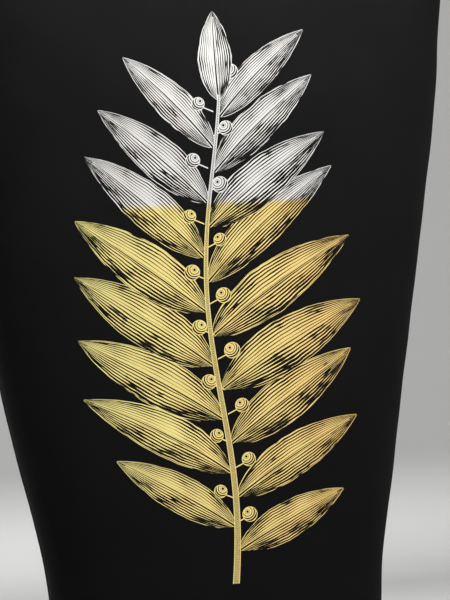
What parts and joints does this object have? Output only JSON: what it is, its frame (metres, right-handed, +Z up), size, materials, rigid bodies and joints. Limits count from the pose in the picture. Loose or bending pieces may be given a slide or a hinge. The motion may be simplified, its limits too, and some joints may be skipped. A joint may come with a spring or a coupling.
{
  "type": "t-shirt",
  "caption": "Fitted short-sleeved crew-neck T-shirt in black cotton jersey, upright and open inside in its worn form, with a ribbed collar and a botanical print on the front.",
  "frame": {"origin": "midway between the two high shoulder points, where the neck seam crosses the shoulder seams", "axes": "+Z up the body, +X to the wearer's left, so the front faces -Y"},
  "size_m": [0.6582, 0.2206, 0.7396],
  "materials": {
    "jersey": "matt black single-jersey cotton knit, smooth, with a fine low-contrast grain; the front carries a soft-hand print in gold, pale yellow and white",
    "rib_knit": "matt black ribbed cotton knit",
    "neck_tape": "matt black woven cotton tape",
    "thread": "black sewing thread with a slight sheen, in the seams and hems"
  },
  "bodies": {
    "root": {"front_panel": "jersey", "back_panel": "jersey", "left_sleeve": "jersey", "right_sleeve": "jersey", "neck_rib": "rib_knit", "back_neck_tape": "neck_tape"}
  },
  "joints": []
}
